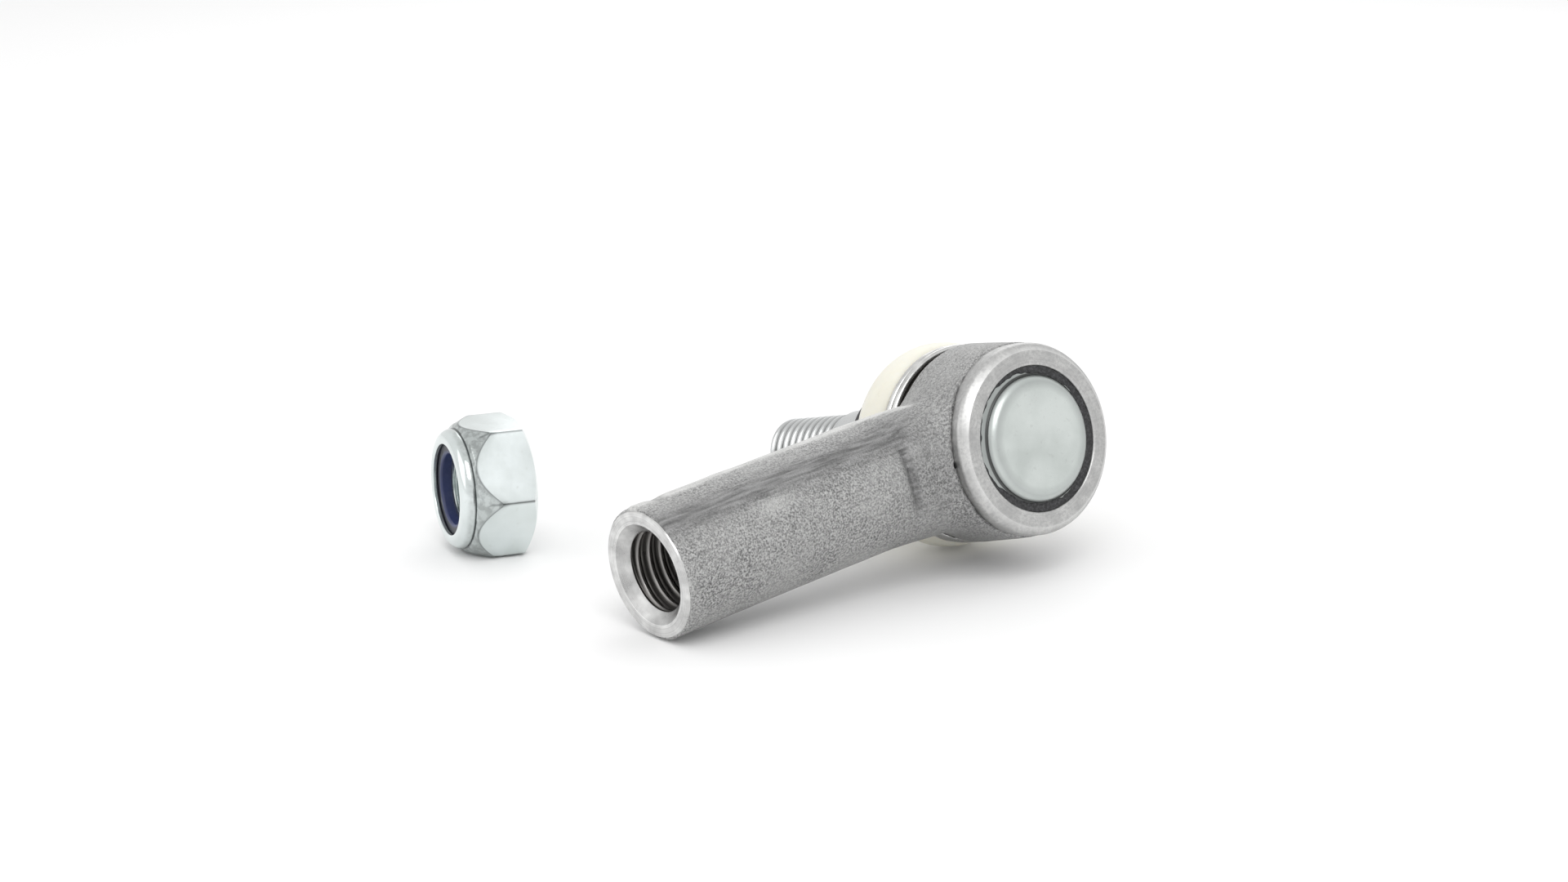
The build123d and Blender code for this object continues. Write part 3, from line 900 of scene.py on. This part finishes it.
# ---------------------------------------------------------------------------------------------
# End cap: pressed from zinc plated sheet, with a flat raised middle and a broad soft shoulder.
# Its rim sits under the rolled lip.
# ---------------------------------------------------------------------------------------------
cap_outline = eased(
    [
        (0.0, -12.03, 0),
        (5.0, -12.02, 0),
        (7.85, -11.96, 1.6),
        (8.18, -10.98, 0.12),
        (8.4, -10.86, 0.06),
        (9.2, -10.8, 0.2),
        (9.25, -10.05, 0),
        (9.8, -10.05, 0.1),
        (9.8, -9.05, 0.1),
        (7.05, -9.05, 0.3),
        (7.05, -11.0, 0.9),
        (0.0, -11.0, 0),
    ],
    10,
)
cap_zinc, tree, shader, grain, plate = grained_finish(
    "cap_zinc",
    stud_frame,
    1.3,
    tone=("Cloud", 0.36, 0.64, (0.54, 0.58, 0.56), (0.66, 0.70, 0.68)),
    gloss=("Cloud", 0.2, 0.24),
    depth=0.012,
    metallic=0.9,
)
stains = ramp(tree, grain["Specks"], (0.60, 0.0), (0.74, 0.4))
plate = tint(tree, stains, plate, (0.42, 0.44, 0.43))
# Painted shade darkens the shoulder, with a lighter band of painted highlight partway down it and near-black
# painted shade in the crease at its foot.
marks = laid_group(tree, turning_marks, stud_frame, Rings=2.0)
reach = maths(tree, "DIVIDE", marks["Radius"], RAMP_REACH)
shade_share = ramp(tree, reach, (0.62, 0.0), (0.73, 0.6), (0.78, 0.25), (0.80, 0.7))
plate = tint(tree, shade_share, plate, (0.34, 0.36, 0.355))
# Painted shade: a near-black ring in the crease at the shoulder's foot.
crease_shade = ramp(tree, reach, (0.808, 0.0), (0.818, 0.9), (0.838, 0.9), (0.85, 0.1))
plate = tint(tree, crease_shade, plate, (0.04, 0.04, 0.04))
tree.links.new(plate, shader.inputs["Base Color"])
end_cap = spun("cap_pressing", cap_outline, stud_frame, 192)
end_cap.data.materials.append(cap_zinc)
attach(end_cap, "housing")
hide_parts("end_cap")

# ---------------------------------------------------------------------------------------------
# Cap seal: black sealing compound, laid into the gap between the rolled lip and the cap while
# soft. It cures there with a torn upper edge, wide on one side and thin on the other.
# ---------------------------------------------------------------------------------------------


def torn_edge(around, radius, height):
    """Thin on one side and wide on the other, with a ragged upper surface and inner edge."""
    swings = ((3, 0.4, 1.0), (7, 1.9, 0.8), (13, 0.7, 0.6), (29, 2.2, 0.5), (53, 1.1, 0.3))
    swing = sum(np.sin(around * turns + shift) * size for turns, shift, size in swings)
    top = height < -10.5
    thin = smooth_step(-np.cos(around - math.radians(208)), 0.1, 0.75)
    inner = smooth_step(9.2 - radius, 0.0, 0.7)
    return radius + inner * (0.8 * thin + 0.09 * swing), height + top * 0.03 * swing


seal_outline = eased(
    [
        (8.2, -10.84, 0),
        (8.45, -11.0, 0),
        (8.9, -11.02, 0),
        (9.33, -10.98, 0),
        (9.33, -10.06, 0),
        (8.2, -10.06, 0),
    ]
)
seal_black, *_ = grained_finish(
    "seal_black",
    stud_frame,
    3.4,
    tone=("Specks", 0.45, 0.7, (0.010, 0.010, 0.011), (0.06, 0.06, 0.065)),
    gloss=("Cloud", 0.3, 0.35),
    depth=0.1,
    strength=0.9,
)
cap_seal = spun("seal_ring", seal_outline, stud_frame, 256, torn_edge)
cap_seal.data.materials.append(seal_black)
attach(cap_seal, "housing")
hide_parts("cap_seal")

# ---------------------------------------------------------------------------------------------
# Dust boot: moulded ivory elastomer, clamped round the head's neck and gripping the stud. It is
# drawn as a lower and an upper part that meet at the shoulder.
# ---------------------------------------------------------------------------------------------
boot_split = 10.0
boot_bulge, boot_rise, boot_neck = 13.5, 6.9, 7.55
dome_foot = 7.6
boot_wall = 1.3


def boot_profile(wall):
    """Outer (wall 0) or inner line of the dome from the lip to the small end."""
    centre_radius = 4.2
    across = boot_bulge - wall - centre_radius
    rise = boot_rise - wall
    turn = math.acos((boot_neck - wall - centre_radius) / across)
    return np.array(
        [
            (centre_radius + across * math.cos(angle), dome_foot + rise * math.sin(angle))
            for angle in np.linspace(0, turn, 44)
        ]
    )


outer_dome = boot_profile(0.0)
inner_dome = boot_profile(boot_wall)


def smoothed(points, rounds=3):
    """Rounds an open line off by cutting its corners."""
    line = np.array(points, float)
    for _ in range(rounds):
        near, far = line[:-1], line[1:]
        cut = np.stack([0.75 * near + 0.25 * far, 0.25 * near + 0.75 * far], 1).reshape(-1, 2)
        line = np.vstack([line[:1], cut, line[-1:]])
    return line


lip_line = [(11.75, 1.75), (12.0, 1.95), (12.05, 4.9), (12.9, 5.15), (13.42, 6.2)]
outer_line = np.vstack(
    [
        smoothed([*lip_line, tuple(outer_dome[0])]),
        outer_dome[1:-3],
        smoothed([tuple(outer_dome[-3]), (7.75, 14.6), (7.52, 15.2), (7.5, 18.0), (7.3, 18.2)]),
    ]
)
inner_line = np.vstack(
    [
        [(11.38, 1.75), (10.88, 1.8), (10.88, 4.32), (11.38, 4.32), (11.38, 5.5)],
        inner_dome[:-1],
        [(6.15, 13.6), (6.15, 18.2)],
    ]
)


def part_of(line, low, high):
    """Stretch of a line between two heights along the stud, with exact ends."""
    heights = line[:, 1]
    inside = line[(heights > low + 1e-3) & (heights < high - 1e-3)]
    ends = []
    for level in (low, high):
        for (r0, z0), (r1, z1) in zip(line[:-1], line[1:]):
            if (z0 - level) * (z1 - level) <= 0 and z0 != z1:
                ends.append((r0 + (r1 - r0) * (level - z0) / (z1 - z0), level))
                break
    if low <= heights.min():
        return np.vstack([inside, [ends[-1]]])
    if high >= heights.max():
        return np.vstack([[ends[0]], inside])
    return np.vstack([[ends[0]], inside, [ends[-1]]])


boot_rubber, tree, shader, grain, ivory = grained_finish(
    "boot_rubber",
    stud_frame,
    1.1,
    tone=("Cloud", 0.3, 0.7, (0.72, 0.70, 0.61), (0.80, 0.785, 0.70)),
    gloss=("Cloud", 0.25, 0.32),
    depth=0.02,
)
shader.inputs["Subsurface Weight"].default_value = 0.12
shader.inputs["Subsurface Radius"].default_value = (0.002, 0.0016, 0.001)
shader.inputs["Subsurface Scale"].default_value = 1.0
ivory = tint(tree, ramp(tree, grain["Specks"], (0.62, 0.0), (0.8, 0.5)), ivory, (0.55, 0.52, 0.45))
# Painted shade: the boot's lip under the clamp is painted near black, so the gaps between the wire's turns look
# dark.
ivory = tint(tree, stained(tree, "lip_shade"), ivory, (0.03, 0.028, 0.024))
tree.links.new(ivory, shader.inputs["Base Color"])

boot_low, boot_high = 0.5, 18.5
bend_start, bend_stop = 4.7, 13.0
for label, low, high, bodies, start, stop in (
    ("boot_lower", boot_low, boot_split, ("housing", "boot"), bend_start, boot_split),
    ("boot_upper", boot_split, boot_high, ("boot", "boot_end"), boot_split, bend_stop),
):
    outer = part_of(outer_line, low, high)
    inner = part_of(inner_line, low, high)
    piece = spun(label, np.vstack([outer, inner[::-1]]), stud_frame, 160)
    piece.data.materials.append(boot_rubber)
    above_ball = points_of(piece, stud_frame)[:, 2]
    # Painted shade on the lip below the clamp's upper turn.
    stain(piece, "lip_shade", smooth_step(-above_ball, -5.1, -4.7))
    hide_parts("dust_boot")
    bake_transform(piece)

# ---------------------------------------------------------------------------------------------
# Boot clamp: bright spring steel wire, drawn and wound in two close turns with cut ends. It
# snaps round the boot's lip and presses it into the groove of the head.
# ---------------------------------------------------------------------------------------------


def make_close_coil():
    """Geometry Nodes tree that winds a wire in close turns about local Z."""
    lengths = {"Turns": 2.0, "Coil Radius": 0.0125, "Wire Radius": 0.0005, "Rise": 0.0009}
    group, given, result = new_tree("close_coil", lengths, takes_mesh=False)
    path = add_node(group, "GeometryNodeCurveSpiral")
    path.inputs["Resolution"].default_value = 128
    group.links.new(given["Turns"], path.inputs["Rotations"])
    group.links.new(given["Coil Radius"], path.inputs["Start Radius"])
    group.links.new(given["Coil Radius"], path.inputs["End Radius"])
    group.links.new(given["Rise"], path.inputs["Height"])
    section = add_node(group, "GeometryNodeCurvePrimitiveCircle")
    section.inputs["Resolution"].default_value = 16
    group.links.new(given["Wire Radius"], section.inputs["Radius"])
    wire = add_node(group, "GeometryNodeCurveToMesh")
    wire.inputs["Fill Caps"].default_value = True
    group.links.new(path.outputs[0], wire.inputs["Curve"])
    group.links.new(section.outputs[0], wire.inputs["Profile Curve"])
    end_tree(group, wire.outputs[0], given["Finish"], result)
    return group


wire_radius = 0.45
coil_turns, coil_radius, coil_rise = 2.06, 12.56, 2.3
coil_height = 2.35
coil_start = math.radians(-60)
clamp_wire, *_ = machined_finish(
    "clamp_wire", stud_frame, (0.55, 0.55, 0.54), (0.75, 0.75, 0.74), 0.26, rings=3.0, depth=0.004
)
clamp = laid_mesh("clamp_coil", [(0, 0, 0)], [], Matrix.Identity(4))
run_nodes(
    clamp,
    make_close_coil(),
    Turns=coil_turns,
    Coil_Radius=coil_radius * MM,
    Wire_Radius=wire_radius * MM,
    Rise=coil_rise * MM,
    Finish=clamp_wire,
)
clamp.data.transform(Matrix.Translation((0, 0, coil_height * MM)) @ Matrix.Rotation(coil_start, 4, "Z"))
clamp.data.transform(stud_frame)
clamp.data.shade_smooth()
clamp.data.set_sharp_from_angle(angle=math.radians(50))
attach(clamp, "housing")
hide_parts("boot_clamp_ring")

# ---------------------------------------------------------------------------------------------
# Small end ring: a moulded black elastic ring, stretched over the small end of the boot to
# keep it tight on the stud.
# ---------------------------------------------------------------------------------------------
neck_black, *_ = grained_finish(
    "neck_black",
    stud_frame,
    2.0,
    tone=("Specks", 0.4, 0.7, (0.018, 0.018, 0.02), (0.05, 0.05, 0.055)),
    gloss=("Cloud", 0.2, 0.4),
    depth=0.03,
    strength=0.6,
)
ring_outline = eased([(7.63, 16.6, 0.1), (8.18, 16.6, 0.22), (8.18, 17.9, 0.22), (7.63, 17.9, 0.1)])
neck_ring = spun("small_end_ring", ring_outline, stud_frame, 160)
neck_ring.data.materials.append(neck_black)
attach(neck_ring, "boot_end")
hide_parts("boot_neck_ring")

# ---------------------------------------------------------------------------------------------
# Lock nut: cold-formed M10 hexagon, 17 mm across flats, chamfered on both sides, with a collar
# rolled over the insert. Bright blue-white zinc plate.
# ---------------------------------------------------------------------------------------------
across_flats = 17.0
hex_height = 8.3
face_height = 7.95
chamfer_radius = 8.1
flare_slope = math.tan(math.radians(66))
flare_foot = 7.92
corner_cut, corner_crispness = 0.12, 22
collar_wall, nut_top = 7.9, 10.0
nut_minor = 4.25
# Marks on an outline's radius: points that the hexagon moves to its wall or to its flare.
wall_mark, flare_mark = 100.0, 200.0
mounts = {mount["name"]: mount for mount in frame["record"]["mounts"]}
nut_axis = -Vector(mounts["nut_bearing_face"]["axis"]).normalized()
thread_middle = 4.475
nut_seat = Vector(mounts["nut_thread"]["pos_m"]) - nut_axis * thread_middle * MM
nut_frame = frame_of(nut_seat, Vector((0, 0, 1)), nut_axis)


def sector_turn(around):
    """Angle from the middle of the nearest flat, within 30 degrees either way."""
    return (around + math.pi / 6) % (math.pi / 3) - math.pi / 6


def hexagon(around, radius, height):
    """Turns the outer wall into a hexagon, chamfered below and flared up to the collar above.
    Marked points carry their share of the wall or of the flare as their height."""
    turn = sector_turn(around)
    flat = 0.5 * across_flats / np.cos(turn)
    corner = across_flats / math.sqrt(3) - corner_cut
    flat = corner - np.log1p(np.exp(corner_crispness * (corner - flat))) / corner_crispness
    low = (flat - chamfer_radius) * math.tan(math.radians(30))
    high = face_height - (flat - 0.5 * across_flats) * flare_slope
    wall = radius > wall_mark
    # Above the wall the cold-formed flare carries on inwards to the foot of the collar.
    flare = radius > flare_mark
    flare_radius = flat + (flare_foot - flat) * height
    past_flat = flare_radius - 0.5 * across_flats
    foot_rise = (hex_height - face_height) / (0.5 * across_flats - flare_foot)
    flare_height = face_height - past_flat * np.where(past_flat > 0, flare_slope, foot_rise)
    new_radius = np.where(wall, flat, radius)
    new_height = np.where(wall, low + (high - low) * height, height)
    return np.where(flare, flare_radius, new_radius), np.where(flare, flare_height, new_height)


wall_shares = (1.0, 0.985, 0.97, 0.75, 0.5, 0.25, 0.03, 0.0)
flare_shares = np.linspace(1, 0, 11)[:-1]
nut_outline = np.vstack(
    [
        [(6.35, 7.8), (6.5, 7.9), (6.5, 9.33), (6.42, 9.4), (6.05, 9.42), (6.0, 9.55)],
        eased(
            [
                (6.0, 9.6, 0),
                (6.0, nut_top, 0.18),
                (collar_wall, nut_top, 1.35),
                (collar_wall, hex_height, 0),
            ],
            10,
        )[1:-1],
        [(7.86, 8.42), (7.84, 8.33)],
        [(flare_mark + 1, share) for share in flare_shares],
        [(wall_mark + 1, share) for share in wall_shares],
        [(chamfer_radius, 0.0), (8.0, 0.0), (5.45, 0.0), (5.3, 0.05), (4.3, 1.05)],
        [(nut_minor, height) for height in along(1.1, 7.6, stud_pitch / 12)],
        [(4.3, 7.75), (4.5, 7.8)],
    ]
)
nut_zinc, tree, shader, grain, plate = grained_finish(
    "nut_zinc",
    nut_frame,
    1.1,
    tone=("Cloud", 0.34, 0.66, (0.66, 0.71, 0.70), (0.76, 0.81, 0.81)),
    gloss=("Cloud", 0.22, 0.07),
    depth=0.01,
    metallic=0.95,
)
stains = ramp(tree, grain["Specks"], (0.62, 0.0), (0.76, 0.35))
plate = tint(tree, stains, plate, (0.52, 0.55, 0.52))
# Painted shade over the flare and the collar's lower side, speckled by the grain.
shade_share = ramp(tree, grain["Specks"], (0.42, 0.45), (0.58, 0.8))
plate = tint(tree, maths(tree, "MULTIPLY", stained(tree, "flare_and_collar_shade"), shade_share), plate, (0.27, 0.29, 0.285))
# Painted shade lines along the arcs, the collar's foot and the corners.
plate = tint(tree, stained(tree, "edges"), plate, (0.10, 0.11, 0.11))
tree.links.new(plate, shader.inputs["Base Color"])
lock_nut = spun("nut_body", nut_outline, Matrix.Identity(4), 240, hexagon, sharp=17)
nut_points = points_of(lock_nut)
level = nut_points[:, 2]
from_axis = np.hypot(nut_points[:, 0], nut_points[:, 1])
turn = sector_turn(np.arctan2(nut_points[:, 1], nut_points[:, 0]))
side = 0.5 * across_flats / np.cos(turn)
arc_height = face_height - (side - 0.5 * across_flats) * flare_slope
flare_inside = 7.7
collar_foot = 8.4
line_width = 0.12
# Painted shade makes the flare darker than the flats, and the lower side of the collar darker too.
on_flare = (level > arc_height + 0.02) & (from_axis > flare_inside) & (level < collar_foot + 0.1)
flare_tone = on_flare * smooth_step(from_axis, flare_inside, chamfer_radius)
collar_tone = 0.55 * (from_axis > 7.3) * smooth_step(9.6 - level, 0.0, 0.7) * (level >= collar_foot)
stain(lock_nut, "flare_and_collar_shade", flare_tone + collar_tone)
# Painted shade: dark lines lie along the arcs, round the foot of the collar and down the six corners.
arc = bell(level, arc_height, line_width) * (from_axis > side - 0.25)
foot = bell(level, hex_height, line_width) * (from_axis < 8.0) * (from_axis > flare_inside)
corner = smooth_step(np.abs(turn), math.radians(29.0), math.radians(29.9)) * (from_axis > 9.0)
stain(lock_nut, "edges", np.clip(0.8 * arc + foot + 0.6 * corner, 0, 1))
run_nodes(
    lock_nut,
    thread_cutter,
    Side=-1.0,
    Radius=nut_minor * MM,
    Depth=(stud_major - nut_minor) * MM,
    Pitch=stud_pitch * MM,
    Start=0.6 * MM,
    End=7.7 * MM,
    Run_Out=0.4 * MM,
    Finish=nut_zinc,
)
lock_nut.data.transform(nut_frame)
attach(lock_nut, "nut")
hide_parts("lock_nut")

# ---------------------------------------------------------------------------------------------
# Locking insert: dark blue nylon ring, moulded with a smooth bore that the stud's thread cuts
# into. The nut's rolled collar holds it.
# ---------------------------------------------------------------------------------------------
insert_blue, tree, shader, grain, blue = grained_finish(
    "insert_blue",
    nut_frame,
    1.6,
    tone=("Cloud", 0.3, 0.7, (0.02, 0.028, 0.085), (0.035, 0.048, 0.14)),
    gloss=("Specks", 0.2, 0.28),
    depth=0.02,
)
marks = laid_group(tree, turning_marks, nut_frame, Rings=4.0)
# Painted shade: the insert's end face is painted near black, darker than the bore.
end_face_shade = ramp(tree, maths(tree, "DIVIDE", marks["Radius"], RAMP_REACH), (0.485, 0.0), (0.52, 1.0))
blue = tint(tree, end_face_shade, blue, (0.006, 0.006, 0.016))
tree.links.new(blue, shader.inputs["Base Color"])
insert_outline = eased([(4.65, 7.82, 0.1), (6.48, 7.82, 0.1), (6.48, 9.32, 0.1), (4.65, 9.32, 0.35)])
nut_insert = spun("nut_lock_ring", insert_outline, nut_frame, 128)
nut_insert.data.materials.append(insert_blue)
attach(nut_insert, "nut")
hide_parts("nut_insert")

# ---------------------------------------------------------------------------------------------
# Bearing shells and disc spring: the acetal shells round the ball and the spring under them
# keep their shapes from the frame, hidden inside the head.
# ---------------------------------------------------------------------------------------------
acetal, *_ = grained_finish(
    "acetal",
    stud_frame,
    1.5,
    tone=("Cloud", 0.3, 0.7, (0.80, 0.79, 0.74), (0.88, 0.87, 0.83)),
    gloss=("Specks", 0.2, 0.3),
    depth=0.02,
)
spring_steel, *_ = machined_finish(
    "spring_steel", stud_frame, (0.20, 0.19, 0.18), (0.34, 0.33, 0.31), 0.34, rings=2.0, depth=0.004
)
for node, material in (
    ("bearing_shell_upper", acetal),
    ("bearing_cup_lower", acetal),
    ("disc_spring", spring_steel),
):
    shown = frame["nodes"][node]
    for slot in shown.material_slots:
        slot.material = material

# ---------------------------------------------------------------------------------------------
# Studio: a pale floor under the joint, large soft lights and the camera.
# ---------------------------------------------------------------------------------------------
floor_mesh = bpy.data.meshes.new("floor")
floor_half = 3.0
floor_drop = 0.0002
signs = ((-1, -1), (1, -1), (1, 1), (-1, 1))
corners = [(x_sign * floor_half, y_sign * floor_half, 0) for x_sign, y_sign in signs]
floor_mesh.from_pydata(corners, [], [(0, 1, 2, 3)])
floor = bpy.data.objects.new("floor", floor_mesh)
bpy.context.scene.collection.objects.link(floor)
floor.location.z = -floor_drop
paper, tree, shader = new_material("studio_paper")
shader.inputs["Base Color"].default_value = (0.9, 0.9, 0.9, 1)
shader.inputs["Roughness"].default_value = 0.9
floor.data.materials.append(paper)

world = bpy.data.worlds.new("studio")
world.use_nodes = True
world.node_tree.nodes["Background"].inputs["Color"].default_value = (1, 1, 1, 1)
world.node_tree.nodes["Background"].inputs["Strength"].default_value = 0.95
bpy.context.scene.world = world
bpy.context.scene.view_settings.view_transform = "Standard"

for label, place, size, power in (
    ("key", (-0.18, -0.30, 0.42), 0.30, 0.8),
    ("fill", (-0.45, 0.10, 0.25), 0.40, 0.35),
    ("rim", (0.35, 0.30, 0.30), 0.35, 0.35),
):
    data = bpy.data.lights.new(label, "AREA")
    data.size = size
    data.energy = power
    light = bpy.data.objects.new(label, data)
    light.location = place
    light.rotation_euler = (Vector((0, 0, 0.01)) - Vector(place)).to_track_quat("-Z", "Y").to_euler()
    bpy.context.scene.collection.objects.link(light)

camera_azimuth = math.radians(-129.03)
camera_elevation = math.radians(15.46)
camera_distance = 0.4384
aim = ball_centre + Vector((-0.01222, 0.02599, -0.00331))
towards = Vector(
    (
        math.cos(camera_elevation) * math.cos(camera_azimuth),
        math.cos(camera_elevation) * math.sin(camera_azimuth),
        math.sin(camera_elevation),
    )
)
camera_data = bpy.data.cameras.new("camera")
camera_data.lens = 75
camera_data.sensor_width = 36
camera = bpy.data.objects.new("camera", camera_data)
camera.location = aim + towards * camera_distance
camera.rotation_euler = towards.to_track_quat("Z", "Y").to_euler()
bpy.context.scene.collection.objects.link(camera)
bpy.context.scene.camera = camera
